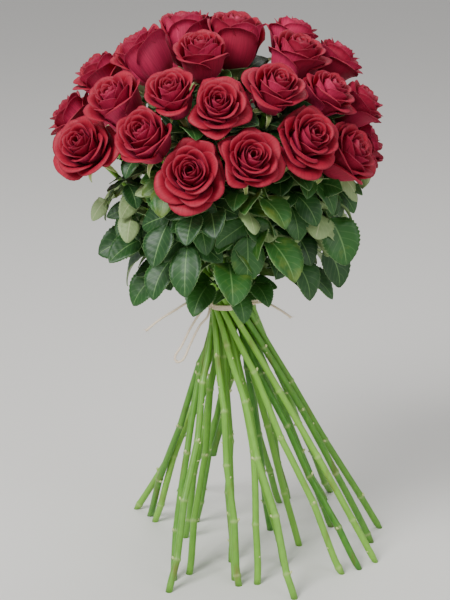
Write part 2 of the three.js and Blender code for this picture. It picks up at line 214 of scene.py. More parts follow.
def lay_twine(bm, marks, line):
    """Twine along a line: its strands go round once in each length of lay."""
    step = length_of(line) / (len(line) - 1)

    def strands(k, angle):
        round_at = 2 * math.pi * k * step / LAY
        ridge = abs(math.cos(STRANDS / 2 * (angle - round_at)))
        return TWINE / 2 * (STRAND_VALLEY + STRAND_RIDGE * ridge)

    draw_out(bm, marks, line, TWINE_SIDES, strands)


def add_fibres(bm, line, dice, count, longest, reach=TWINE / 2):
    """Loose fibres that stand off a line of twine, each a fine spike."""
    for _ in range(count):
        k = dice.randrange(len(line) - 1)
        ahead = (line[k + 1] - line[k]).normalized()
        off = Vector([dice.gauss(0, 1) for _ in range(3)]).cross(ahead).normalized()
        lean = (off + ahead * dice.uniform(-1.5, 1.5)).normalized()
        size = dice.uniform(0.3, 1) * longest
        root = line[k].lerp(line[k + 1], dice.random()) + off * reach * 0.8
        place = set_along(root + lean * size / 2, lean)
        bmesh.ops.create_cone(
            bm, cap_ends=True, segments=3, radius1=FIBRE_ROOT, radius2=FIBRE_TIP, depth=size, matrix=place
        )


# Spun jute, undyed and unwaxed: dull straw colour with darker strands, and no gloss at all. The fibres run
# about 1 mm apart on the strands, so the streaks are drawn as wide as that.
jute = finish_named("spun_jute", Roughness=0.92, Specular_IOR_Level=0.2)
place = place_in(jute)
streaks = noise(jute, place, 1.2 * MM, detail=3.0)
straw = blend(jute, streaks, JUTE_SHADE, JUTE_PALE)
jute_colour = blend(jute, noise(jute, place, 14 * MM), straw, JUTE)
give(jute, Base_Color=jute_colour, Normal=relief(jute, streaks, 0.3 * MM, 0.8))

CORD_STEPS = 16  # from one point of a cord's route to the next
CORDS = {  # routes in mm, after the photo
    "twine_loop": [
        (-6.8, -18.7, 274.2), (-14, -25, 269), (-24, -29, 254), (-33, -31, 236), (-40, -31, 224), (-38, -32, 218),
        (-31, -32, 222), (-24, -31, 238), (-15, -30, 256), (-7, -27, 265), (-4.6, -20.3, 271.6),
    ],
    "twine_left_end": [(-8.2, -16.7, 276.3), (-24, -23, 280), (-40, -27, 272), (-56, -28, 262), (-70, -27, 250)],
    "twine_right_end": [(40.4, -16.2, 276), (52, -30, 281), (65, -42, 278), (78, -46, 270)],
}

twine_lines = {}
for node, points in CORDS.items():
    line = curve_through([Vector(point) for point in points], CORD_STEPS)
    twine_lines[node] = line
    bm, marks = new_mesh()
    lay_twine(bm, marks, line)
    bmesh.ops.recalc_face_normals(bm, faces=bm.faces)
    cord = to_piece(bm, node + "_strands", [jute], [node])

# ---- Twine: the turns round the stems and the knot ----
# The same jute twine goes three times round the stems where they cross, each turn against the last, and ends
# in a knot at the front left.

TIE = Vector((19, 0, 275))  # middle of the binding point
STAND = Vector((47, 0, 0))  # middle of the ring of cut ends
TURNS = 3
TURN_STEPS = 96  # points on one turn
TURN_RISE = 0.68  # of the twine's thickness, from one turn to the next, as they bed into each other
BINDING_RADIUS = 25.7  # to the middle of the twine
OVER_STEMS, OUTER_STEMS = 0.18, 14  # how far the twine rises over each stem of the outer ring
KNOT_TURN = 214  # azimuth of the knot
KNOT_OUT = 1.6  # how far its middle stands off the turns
KNOT_STEPS = 81
KNOT_WIDE, KNOT_HIGH, KNOT_DEEP = 1.25, 1.0, 1.3


def towards(azimuth, tilt=90):
    """A direction that leans by tilt from upright towards azimuth, in degrees."""
    a, t = math.radians(azimuth), math.radians(tilt)
    return Vector((math.sin(t) * math.cos(a), math.sin(t) * math.sin(a), math.cos(t)))


def frame_at(point, axis, spin=0):
    """A frame with its z along axis and its x as near to +X as it goes, then turned by spin."""
    x = Matrix.Rotation(math.radians(spin), 3, axis) @ Vector((0, 1, 0)).cross(axis).normalized()
    columns = Matrix((x, axis.cross(x), axis)).transposed()
    return Matrix.Translation(point) @ columns.to_4x4()


binding_frame = frame_at(TIE, (TIE - STAND).normalized())
binding_line = []
for k in range(TURNS * TURN_STEPS + 1):
    angle = math.radians(KNOT_TURN) + 2 * math.pi * k / TURN_STEPS
    radius = BINDING_RADIUS + OVER_STEMS * math.cos(OUTER_STEMS * angle)
    level = TWINE * (k / TURN_STEPS - TURNS / 2) * TURN_RISE
    binding_line.append(binding_frame @ polar(radius, angle, level))
knot_middle = TIE + towards(KNOT_TURN) * (BINDING_RADIUS + KNOT_OUT)
knot_frame = frame_at(knot_middle, towards(KNOT_TURN))
knot_line = []  # a trefoil
for k in range(KNOT_STEPS):
    t = 2 * math.pi * k / KNOT_STEPS
    wide = KNOT_WIDE * (math.sin(t) + 2 * math.sin(2 * t))
    high = KNOT_HIGH * (math.cos(t) - 2 * math.cos(2 * t))
    knot_line.append(knot_frame @ Vector((wide, high, KNOT_DEEP * -math.sin(3 * t))))
bm, marks = new_mesh()
lay_twine(bm, marks, binding_line)
lay_twine(bm, marks, knot_line)
bmesh.ops.recalc_face_normals(bm, faces=bm.faces)
to_piece(bm, "twine_turns", [jute], ["twine_binding"])

# Loose fibres all along the twine, and a frayed tuft at the last points of each line. All random draws start
# from a fixed number, so that each piece comes out the same every time.
dice = random.Random(11)
bm, marks = new_mesh()
add_fibres(bm, binding_line, dice, count=260, longest=3.2)
add_fibres(bm, knot_line, dice, count=50, longest=3.5)
for line in twine_lines.values():
    add_fibres(bm, line, dice, count=round(FIBRES_PER_MM * length_of(line)), longest=3.0)
    add_fibres(bm, line[-4:], dice, count=14, longest=7, reach=0.6)
to_piece(bm, "twine_fibres", [jute], ["twine_binding"])

# ---- Where each rose goes ----
# Twenty-eight long-stemmed red roses, in three rings at the tie. Their heads stand on a dome and press against
# each other, and the stems slant all the same way round and spread out below the tie to a ring of cut ends.
# head is the azimuth and tilt of the head's place on the dome, lift how far it stands out of the dome, face the
# way it looks, width in mm, open from 0 (cup) to 1 (full), foot the cut end, cut its height.

DOME = Vector((0, 0, 430))  # middle of the dome
DOME_REACH = Vector((166, 146, 142))  # from there to the faces of the heads, each way
SPIRAL = 0.0255  # slant of a stem at the tie, for each mm that it lies from the middle
RING_RADII = [20.2, 13.1, 6.1]  # of the outer, middle and inner ring at the tie
RING_TURNS = [25.5, 15, 62]  # azimuth of the first stem of each
FACE_SHARE = 0.72  # a head looks out at this share of its place's tilt, unless face says otherwise
RIM_RADIUS, HEAD_HEIGHT = [25, 34], [54, 46]  # of a head at its full size, as a cup and fully open
MIDDLE = 0.55  # of a head's height
ROUND = 1.08  # a head's oval is wider than its rim by this
BEND_START, BEND_END = 0.85, 0.75  # how strongly a stem holds its direction at the tie and under the head
CLEAR = 0.3  # left between two heads

ROSES = [
    [
        dict(head=(-50, 71), width=74, open=1, face=(-58, 58), foot=(-41, 152)),
        dict(head=(-76, 77), width=66, open=0.8, foot=(82, 131)),
        dict(head=(-98, 83), width=74, open=1, face=(-97, 62), foot=(131, 149)),
        dict(head=(-118, 68), width=60, open=0.4, foot=(180, 47)),
        dict(head=(-140, 55), width=58, open=0.4, foot=(168, 8)),
        dict(head=(-147, 77), width=70, open=1, face=(-122, 55), foot=(169, -43)),
        dict(head=(173, 71), width=66, open=0.7, foot=(132, -72)),
        dict(head=(135, 75), width=68, open=0.8, foot=(81, -132)),
        dict(head=(101, 78), width=68, open=0.7, foot=(25, -101)),
        dict(head=(68, 77), width=68, open=0.9, foot=(-46, -116)),
        dict(head=(38, 74), width=66, open=0.8, foot=(-42, -88)),
        dict(head=(6, 83), width=62, open=0.5, foot=(-72, 80)),
        dict(head=(-3, 65), width=56, open=0.5, lift=8, foot=(-66, 64)),
        dict(head=(-26, 81), width=62, open=0.5, foot=(-88, 100)),
    ],
    [
        dict(head=(-57, 47), width=64, open=0.8, foot=(72, 118)),
        dict(head=(-88, 55), width=66, open=1, face=(-90, 50), foot=(124, 126)),
        dict(head=(-110, 49), width=54, open=0.5, foot=(127, 50)),
        dict(head=(178, 48), width=60, open=0.6, foot=(151, -61)),
        dict(head=(112, 44), width=66, open=0.7, foot=(44, -97)),
        dict(head=(75, 20), width=56, open=0.5, foot=(21, -87)),
        dict(head=(27, 33), width=62, open=0.75, lift=12, foot=(-26, -73)),
        dict(head=(16, 49), width=58, open=0.6, lift=16, foot=(-32, 21)),
        dict(head=(-24, 54), width=62, open=0.9),
    ],
    [
        dict(head=(-12, 33), width=60, open=0.4, face=(-30, 22), foot=(-26, 46), cut=92),
        dict(head=(-100, 26), width=52, open=0.3),
        dict(head=(-162, 31), width=56, open=0.15, face=(180, 34)),
        dict(head=(142, 13), width=52, open=0, face=(140, 6), foot=(73, -53)),
        dict(head=(-20, 9), width=56, open=0.1, face=(-20, 8), foot=(18, -42)),
    ],
]


def between(pair, share):
    return pair[0] + (pair[1] - pair[0]) * share


def spread(n):
    """An even spread of values from -1 to 1 over n."""
    return 2 * (n * 0.6180339887 % 1) - 1


def spiral_point(slot, z):
    """Where a stem with that slot in the tie goes past a lower height, if it follows the spiral alone."""
    drop = TIE.z - z
    swing = Vector((-slot.y, slot.x, 0)) * SPIRAL * drop
    return TIE.lerp(STAND, drop / TIE.z) + slot + swing


class Rose:
    """One rose's place in the bunch."""

    def __init__(self, number, ring, index, head, width, open, lift=0, face=None, foot=None, cut=0):
        self.number, self.ring, self.index, self.open = number, ring, index, open
        outward = towards(*head)
        middle = DOME + outward * DOME_REACH + outward * lift
        self.axis = towards(*(face or (head[0], head[1] * FACE_SHARE)))
        self.scale = width / 2 / between(RIM_RADIUS, open)
        self.height = self.scale * between(HEAD_HEIGHT, open)
        self.seat = middle - self.axis * self.height
        self.slot = towards(RING_TURNS[ring] - index * 360 / len(ROSES[ring])) * RING_RADII[ring]
        self.sway = Vector((*foot, 0)) - spiral_point(self.slot, 0) if foot else Vector()
        self.cut = cut
        self.turn = 180 * spread(number)
        self.middle = self.seat + self.axis * self.height * MIDDLE
        self.oval = (width / 2 * ROUND, self.height * MIDDLE)
        self.label = f"{number + 1:02d}"

    def lower_point(self, z):
        """Where the stem goes past a height below the tie."""
        return spiral_point(self.slot, z) + self.sway * (1 - z / TIE.z) ** 2

    def upper_line(self, points):
        """The stem from the tie to the head."""
        start = spiral_point(self.slot, TIE.z)
        rise = (start - spiral_point(self.slot, TIE.z - 1)).normalized()
        pull = (self.seat - start).length / 3
        first, second = start + rise * pull * BEND_START, self.seat - self.axis * pull * BEND_END
        return interpolate_bezier(start, first, second, self.seat, points)

    def oval_reach(self, direction):
        """From the head's middle to the face of its oval."""
        along = direction.dot(self.axis)
        across = math.sqrt(max(0, 1 - along * along))
        return 1 / math.hypot(along / self.oval[1], across / self.oval[0])

    def meet(self, others):
        """The planes between this head and its neighbours."""
        self.planes = []
        for other in others:
            normal = other.middle - self.middle
            apart = normal.length
            if other is self or apart > self.oval[0] + other.oval[0]:
                continue
            normal.normalize()
            mine = self.oval_reach(normal)
            share = mine / (mine + other.oval_reach(normal))
            self.planes.append((normal, apart * share - CLEAR / 2))

    def pressed(self, point):
        """A point of the head, drawn towards its middle where a neighbour presses."""
        direction = point - self.middle
        length = direction.length
        direction.normalize()
        room = min((reach / direction.dot(n) for n, reach in self.planes if direction.dot(n) > 1e-6), default=1e9)
        shrunk = length * min(1, room / self.oval_reach(direction))
        return self.middle + direction * min(shrunk, room)


roses = []
for ring, group in enumerate(ROSES):
    for index, sizes in enumerate(group):
        roses.append(Rose(len(roses), ring, index, **sizes))
for rose in roses:
    rose.meet(roses)

# ---- Stems ----
# Smooth fresh stems, 5 to 8 mm thick, stripped of leaves below the tie. Each has swollen nodes 50 to 85 mm apart
# with a paler ring and a small bud or a stub of a prickle, bends a little at each, and ends in a level cut.

FOOT_RADIUS, TIE_RADIUS, NECK_RADIUS = 3.8, 3.4, 2.6
ROUNDED = 0.15  # the round stem is thinner than its five-sided solid by this
STEM_SIDES = 12
LOWER_POINTS, UPPER_POINTS = 260, 180  # on a stem's fine line, which is then thinned out
RING_APART, NODE_NEAR = 6, 3.5  # greatest distance from ring to ring, and all points are kept as near to a node
CUT_CLEAR = 4  # no ring of points this close above the cut, where it would dip through the floor
NODE_APART, NODE_SPREAD = 67, (0.78, 1.25)  # from node to node, and what a stem's own distance is of that
NODE_WIDTH, NODE_SWELL = 1.7, 0.6  # along the stem, and out from it
STEM_BEND = 1.9  # sideways from a node to the next
PLAIN_AT_TIE, PLAIN_FADE = 25, 50  # nodes and bends fade out over so many mm towards the plain stem at the tie
PLAIN_END = 20  # and bends do so at each end of the stem
HIP_PROFILE = [(-9, 2.7), (-7.6, 3.5), (-6, 4.7), (-4, 5.4), (-2.4, 5.2), (-1, 4.4), (0, 2.5)]  # height, radius
HIP_START = 12  # below the head
RING_PALE = 0.42  # how much of the ring's paler colour a node shows
STUB = (1.6, 1.3, 2.5)  # half-sizes of a stub, a bud or the rest of a prickle
SMALL_STUBS, SMALL_STUB = 5, 0.6  # between the nodes of each stem, and their share of that size
STEM_LIGHT, STEM_DARK, NODE_PALE, STEM_BLUSH = 0x84BE42, 0x2C7014, 0xD3D79A, 0x6E4A22
WOOD, PITH = 0xB7B97C, 0xE9E6C4


def read_mark(material, name):
    """What the mesh says at its points under a name."""
    return add_node(material, "Attribute", {}, attribute_name=name).outputs["Fac"]


def maths(material, operation, *values, **settings):
    """The result of one operation on numbers and other nodes' outputs."""
    return add_node(material, "Math", dict(enumerate(values)), operation=operation, **settings).outputs[0]


def ramp(material, value, start, end, low, high):
    """Low up to where value is start, high from where it is end, and in step between them."""
    sockets = {"Value": value, "From Min": start, "From Max": end, "To Min": low, "To Max": high}
    return add_node(material, "MapRange", sockets).outputs[0]


# Young woody green bark: smooth, a little waxy, lighter on some stems at random and painted lighter on the stems
# of the outer ring as painted light, with a pale broken ring at each node and a reddish-brown blush in patches
# about
# 30 mm long. All of it is drawn out along the stem.
stem_bark = finish_named("green_rose_bark", Roughness=0.42, Specular_IOR_Level=0.5)
drawn_out = add_node(stem_bark, "Mapping", {"Vector": place_in(stem_bark), "Scale": (1, 1, 0.25)}).outputs[0]
mottle = noise(stem_bark, drawn_out, 4 * MM, detail=4.0)
blush = ramp(stem_bark, noise(stem_bark, drawn_out, 14 * MM), 0.6, 0.78, 0.0, 0.6)
lightness = maths(stem_bark, "MULTIPLY_ADD", mottle, 0.5, read_mark(stem_bark, "tone"))
green = blend(stem_bark, lightness, STEM_DARK, STEM_LIGHT)
at_node = read_mark(stem_bark, "side")
broken = maths(stem_bark, "MULTIPLY_ADD", at_node, 0.35, mottle)
ring = maths(stem_bark, "MULTIPLY", broken, at_node, use_clamp=True)
bark_colour = blend(stem_bark, ring, blend(stem_bark, blush, green, STEM_BLUSH), NODE_PALE)
give(stem_bark, Base_Color=bark_colour, Normal=relief(stem_bark, mottle, 0.15 * MM, 0.5))

# The cut end shows the pale wet wood, with a whiter pith.
cut_wood = finish_named("cut_rose_wood", Roughness=0.6)
grain = noise(cut_wood, place_in(cut_wood), 0.8 * MM)
give(cut_wood, Base_Color=blend(cut_wood, grain, WOOD, PITH))


def bump_at(distance, width):
    """1 at no distance, falling off softly over the width."""
    return math.exp(-((distance / width) ** 2))


for rose in roses:
    dice = random.Random(100 + rose.number)
    fine = [rose.lower_point(between((rose.cut, TIE.z), k / LOWER_POINTS)) for k in range(LOWER_POINTS)]
    neck = rose.seat - rose.axis * HIP_START
    fine += [point for point in rose.upper_line(UPPER_POINTS) if (point - rose.seat).length > HIP_START + 1]
    apart = NODE_APART * dice.uniform(*NODE_SPREAD)
    phase = dice.uniform(0, apart)
    line, travelled = [fine[0]], [0]
    run = 0
    for before, point in zip(fine, fine[1:]):
        run += (point - before).length
        off = (run + phase) % apart
        if point.z < rose.cut + CUT_CLEAR:
            continue
        if min(off, apart - off) < NODE_NEAR or run > travelled[-1] + RING_APART:
            line.append(point)
            travelled.append(run)
    line.append(neck)
    travelled.append(run + (neck - fine[-1]).length)
    sideways = towards(dice.uniform(0, 360))
    radii, at_nodes, bent = [], [], []
    for point, run in zip(line, travelled):
        off = (run + phase) % apart
        near = bump_at(min(off, apart - off), NODE_WIDTH)
        if point.z < TIE.z:
            plain = between((FOOT_RADIUS, TIE_RADIUS), point.z / TIE.z)
        else:
            plain = between((TIE_RADIUS, NECK_RADIUS), (point.z - TIE.z) / (neck.z - TIE.z))
        clear_of_tie = min(1, max(0, (abs(point.z - TIE.z) - PLAIN_AT_TIE) / PLAIN_FADE))
        radii.append(plain - ROUNDED + NODE_SWELL * near * clear_of_tie)
        at_nodes.append(near)
        zigzag = (off / apart - 0.5) * (1 if int((run + phase) / apart) % 2 else -1)
        ends = min(1, run / PLAIN_END, (travelled[-1] - run) / PLAIN_END)
        bent.append(point + sideways * zigzag * 2 * STEM_BEND * clear_of_tie * ends)
    for height, radius in HIP_PROFILE:
        bent.append(rose.seat + rose.axis * height)
        radii.append(radius)
        at_nodes.append(0)
    bm, marks = new_mesh()
    cut_face = draw_out(bm, marks, bent, STEM_SIDES, lambda k, angle: radii[k])
    cut_face.material_index = 1
    for vert in cut_face.verts:
        vert.co.z = rose.cut
    # Painted light and shade: stems of the outer ring are lighter than those inside the bunch; the rest of the
    # tone differs at random.
    tone_here = 0.2 + 0.34 * spread(rose.number * 3 + 1) + (0.2 if rose.ring == 0 else 0)
    for vert in bm.verts:
        vert[marks["tone"]] = tone_here
        vert[marks["side"]] = RING_PALE * at_nodes[round(vert[marks["along"]] * (len(bent) - 1))]
    stubs = [
        (k, 1)
        for k in range(1, len(line) - 1)
        if at_nodes[k] > 0.5 and at_nodes[k - 1] < at_nodes[k] >= at_nodes[k + 1]
    ]
    stubs += [(dice.randrange(2, len(line) - 2), SMALL_STUB) for _ in range(SMALL_STUBS)]
    for k, size in stubs:
        if bent[k].z < 12 or abs(bent[k].z - TIE.z) < 30:  # clear of the floor and of the twine
            continue
        ahead = (bent[k + 1] - bent[k]).normalized()
        off = towards(dice.uniform(0, 360))
        off = (off - ahead * off.dot(ahead)).normalized()
        middle = bent[k] + off * (radii[k] + 0.3) + ahead * size
        place = set_along(middle, (off * 0.8 + ahead).normalized())
        shape = Matrix.Diagonal([half * size for half in STUB] + [1])
        made = bmesh.ops.create_icosphere(bm, subdivisions=1, radius=1, matrix=place @ shape)["verts"]
        for vert in made:
            vert[marks["side"]], vert[marks["tone"]] = 0.95, 0.8
    bmesh.ops.recalc_face_normals(bm, faces=bm.faces)
    to_piece(bm, f"stem_{rose.label}", [stem_bark, cut_wood], [f"rose_{rose.label}_stem"])

# ---- Sepals ----
# Five narrow green sepals round the hip of each rose, bent out and down as a star. They are soft, a little
# downy, yellow-green with a paler edge, and end in thin curled tips.

SEPALS = 5
SEPAL_ROOT, SEPAL_REACH, SEPAL_DROP = 4.6, 21, 9  # from the rose's axis, and down from the head
SEPAL_WIDTH, SEPAL_TIP, SEPAL_THICK = 6.5, 0.5, 0.5
SEPAL_CURL = 3  # further down at the tip, where it curls
SEPAL_GREEN, SEPAL_PALE = 0x8EAA4E, 0xD6DA9C

# The down stands about 1 mm apart and is drawn as bumps of that size.
sepal_skin = finish_named("downy_sepal", Roughness=0.7, Sheen_Weight=0.3, Sheen_Roughness=0.6)
off_middle = maths(sepal_skin, "ABSOLUTE", read_mark(sepal_skin, "across"))
sepal_colour = blend(sepal_skin, ramp(sepal_skin, off_middle, 0.5, 1.0, 0.1, 1.0), SEPAL_GREEN, SEPAL_PALE)
down = noise(sepal_skin, place_in(sepal_skin), 1 * MM)
give(sepal_skin, Base_Color=sepal_colour, Normal=relief(sepal_skin, down, 0.15 * MM, 0.6))


def thicken(bm, marks, sheets, thickness):
    """Gives the sheets made of these points a second side, set back by thickness, and marks it. Solidify makes
    it with next to no thickness, as it would throw up spikes at sharp folds, and each point is then moved."""
    bm.normal_update()
    for vert in sheets:
        vert[marks["facing"]] = vert.normal
    old = set(bm.verts)
    bmesh.ops.solidify(bm, geom=list({face for vert in sheets for face in vert.link_faces}), thickness=1e-5)
    for vert in bm.verts:
        if vert not in old:
            vert[marks["side"]] = 1
            vert.co -= vert[marks["facing"]] * thickness


for rose in roses:
    dice = random.Random(300 + rose.number)
    frame_here = frame_at(rose.seat, rose.axis)
    bm, marks = new_mesh()
    sheets = []
    for k in range(SEPALS):
        spin = 2 * math.pi * k / SEPALS
        out = polar(1, spin)
        aside = Vector((-out.y, out.x, 0))
        tip = frame_here @ (out * SEPAL_REACH + Vector((0, 0, -SEPAL_DROP)))
        root = frame_here @ (out * SEPAL_ROOT + Vector((0, 0, -1)))
        share = 1.0  # of its full reach, so that it stays out of the next head
        while share > 0.3 and any(
            (root.lerp(tip, share) - rose.middle).dot(normal) > reach for normal, reach in rose.planes
        ):
            share *= 0.9
        curl = dice.uniform(-0.2, 1)
        twist = dice.uniform(-0.5, 0.5)
        sheet = bmesh.ops.create_grid(bm, x_segments=4, y_segments=10, size=1)["verts"]
        for vert in sheet:
            across, along = vert.co.x, (vert.co.y + 1) / 2
            vert[marks["across"]], vert[marks["along"]] = across, along
            half = SEPAL_WIDTH / 2 * (1 - along) * (0.8 + 1.2 * along) + SEPAL_TIP / 2
            side = across * half
            reach = SEPAL_ROOT - 0.6 + (SEPAL_REACH - SEPAL_ROOT + 2) * share * math.sin(1.5 * along) ** 0.9
            drop = -1 + 2.2 * math.sin(math.pi * along) - (SEPAL_DROP + SEPAL_CURL * curl) * share * along**2
            local = out * (reach - 0.25 * abs(side)) + aside * (side + twist * 6 * along * along * share)
            local.z = drop + 0.3 * abs(side)  # hollow along the middle
            vert.co = frame_here @ local
        sheets += sheet
    thicken(bm, marks, sheets, SEPAL_THICK)
    bmesh.ops.recalc_face_normals(bm, faces=bm.faces)
    to_piece(bm, f"sepals_{rose.label}", [sepal_skin], [f"rose_{rose.label}_stem"])

# ---- Leaves ----
# Rose leaves: toothed oval leaflets in fives on a thin stalk, folded along the midrib and puckered between the
# side veins. They grow from the stems above the tie and arch out and down, in a collar under the heads.

# In each row: where the leaf leaves its stem, which way it goes, its slope there, how far that falls up to its
# tip, and its length, in mm and degrees.
COLLAR_LEAVES = [  # first 0 or 1 for the even or odd outer roses, then height, turn from the stem's own side
    (0, 304, 1, 23, 60, 86),
    (0, 338, -4, 4, 63, 90),
    (1, 369, 16, -11, 48, 90),
    (1, 399, -3, -40, 39, 88),
    (0, 409, -3, -27, 33, 69),
]
NECK_LEAVES = [  # of the outer, middle and inner ring: how far under the head, turn from straight outwards
    [
        (36, 22, 4, 60, 70),
        (44, -24, 30, 44, 64),
        (40, -60, 50, 30, 60),
        (44, 180, 52, 24, 68),
        (70, 50, -4, 40, 66),
        (58, -10, 14, 60, 64),
        (76, -30, -30, 40, 60),
    ],
    [
        (30, 30, 38, 40, 60),
        (38, -40, 32, 40, 64),
        (70, 80, 34, 40, 76),
        (84, -70, 30, 40, 80),
        (46, -100, 64, 20, 68),
        (40, 170, 58, 20, 66),
    ],
    [
        (26, 40, 64, 30, 56),
        (32, -60, 60, 40, 58),
        (54, 170, 44, 50, 72),
        (60, 100, 40, 40, 72),
    ],
]
PLACED_LEAVES = [  # one by one after the photo, at the collar's left and over the tie: rose, height, azimuth
    (6, 336, -172, 12, 46, 90),
    (6, 318, -160, 2, 40, 74),
    (5, 345, -150, 8, 50, 76),
    (5, 410, -66, 14, 66, 54),
    (5, 386, -104, 4, 50, 56),
    (6, 372, -140, 4, 60, 60),
    (3, 306, -74, -8, 40, 64),
]
# How much shorter leaves of a kind are at the far left, and how many teeth a leaflet has on a side and parts
# across. Between the heads, only the outline and the colour of leaves are seen.
KINDS = {"collar": (0.16, 14, 6), "neck": (0.5, 8, 4), "placed": (0, 14, 6)}
SMALL_LEAVES = [(2, 0), (5, 2), (5, 3)]  # rose and row of the collar, over the twine's right end and far left
SMALL_SHARE = 0.64  # of the length of the others in the row
BARE_LEFT = -98  # roses whose seat is further left than this have no leaves on the outside of the neck
PLACED_SEED = 61
SECTOR = 25  # degrees each way, which a leaf of the collar keeps to
HEIGHT_SPREAD, RISE_SPREAD, DROOP_SPREAD, LENGTH_SPREAD = 6, 8, 15, 0.1  # from a row to its single leaves
STALK_SHARE = 0.5  # of the leaf's length
STALK_RADIUS, STALK_SIDES, STALK_STEPS = 1.1, 6, 10
LEAFLETS = [  # place on the stalk, turn in degrees, share of the leaf's length
    (1, 0, 0.58),
    (0.64, 58, 0.5),
    (0.64, -58, 0.5),
    (0.24, 66, 0.32),
    (0.24, -66, 0.32),
]
LEAFLET_WIDTH, WIDTH_SPREAD = 0.72, 0.13  # of its length, and how far that varies as a share of it
FACING = 42  # degrees by which a leaf at the left or right turns its upper face to the front
TWISTED, TURNED_OVER, OVER_SHARE = 34, 170, 0.12  # in degrees, and how many leaflets show their underside
FOLD, SAG = 0.22, 0.15  # slope of a leaflet's halves, and how far its tip sags as a share of its length
VEINS, VEIN_SLANT = 7, 0.3  # on a side, and how much of a leaflet's length each runs forward
PUCKER, WAVE = 0.27, 0.02  # between veins in mm, and of the whole edge as a share of the length
TOOTH = 0.93  # how far the blade reaches between two teeth
BLADE = 0.5  # thick
PAINTED_SHADE = 0.3  # painted shade: leaves deep between the heads are darker by this
LEAF_GREEN, LEAF_LIGHT, LEAF_YELLOW = 0x123716, 0x306A22, 0x889034
LEAF_VEIN_AND_EDGE_HIGHLIGHT, LEAF_UNDER, LEAF_UNDER_VEIN = 0x7CA561, 0x8BA36C, 0xD0D6A6

# Tough glossy leaf skin: dark green above, yellower where it is lightest, with fine pale veins and a painted
# highlight at the edge, and dull sage below. A vein is about 0.5 mm wide and is drawn a little wider, so that
# it shows.
leaf_skin = finish_named("glossy_rose_leaf", Roughness=0.46, Specular_IOR_Level=0.45)
off_rib = maths(leaf_skin, "ABSOLUTE", read_mark(leaf_skin, "across"))
slant = maths(leaf_skin, "MULTIPLY_ADD", off_rib, -VEIN_SLANT, read_mark(leaf_skin, "along"))
off_vein = maths(leaf_skin, "PINGPONG", maths(leaf_skin, "MULTIPLY", slant, VEINS), 0.5)
side_vein = ramp(leaf_skin, off_vein, 0.0, 0.1, 0.17, 0.0)
midrib = ramp(leaf_skin, off_rib, 0.015, 0.055, 0.55, 0.0)
veined = maths(leaf_skin, "MAXIMUM", side_vein, midrib)
patches = noise(leaf_skin, place_in(leaf_skin), 18 * MM, detail=3.0)
lightness = maths(leaf_skin, "MULTIPLY_ADD", patches, 0.6, read_mark(leaf_skin, "tone"))
blade = blend(leaf_skin, lightness, LEAF_GREEN, LEAF_LIGHT)
aged = blend(leaf_skin, ramp(leaf_skin, lightness, 0.68, 0.95, 0.0, 0.8), blade, LEAF_YELLOW)
with_veins = blend(leaf_skin, veined, aged, LEAF_VEIN_AND_EDGE_HIGHLIGHT)
# Painted highlight: the upper face turns paler towards the edge of each leaflet.
above = blend(leaf_skin, ramp(leaf_skin, off_rib, 0.93, 1.0, 0.0, 0.4), with_veins, LEAF_VEIN_AND_EDGE_HIGHLIGHT)
under = blend(leaf_skin, veined, LEAF_UNDER, LEAF_UNDER_VEIN)
leaf_colour = blend(leaf_skin, read_mark(leaf_skin, "side"), above, under)
sunk_veins = relief(leaf_skin, veined, 0.3 * MM, 0.6, invert=True)
give(leaf_skin, Base_Color=leaf_colour, Normal=sunk_veins)


def smoothstep(x, low, high):
    """0 up to low, 1 from high, and a smooth rise between them."""
    t = min(1, max(0, (x - low) / (high - low)))
    return t * t * (3 - 2 * t)


def eased(off):
    """An angle off the middle of a sector, eased so that it stays inside, both in sectors."""
    size = abs(off)
    return math.copysign(size if size < 0.5 else 1 - 0.5 * math.exp(1 - 2 * size), off)


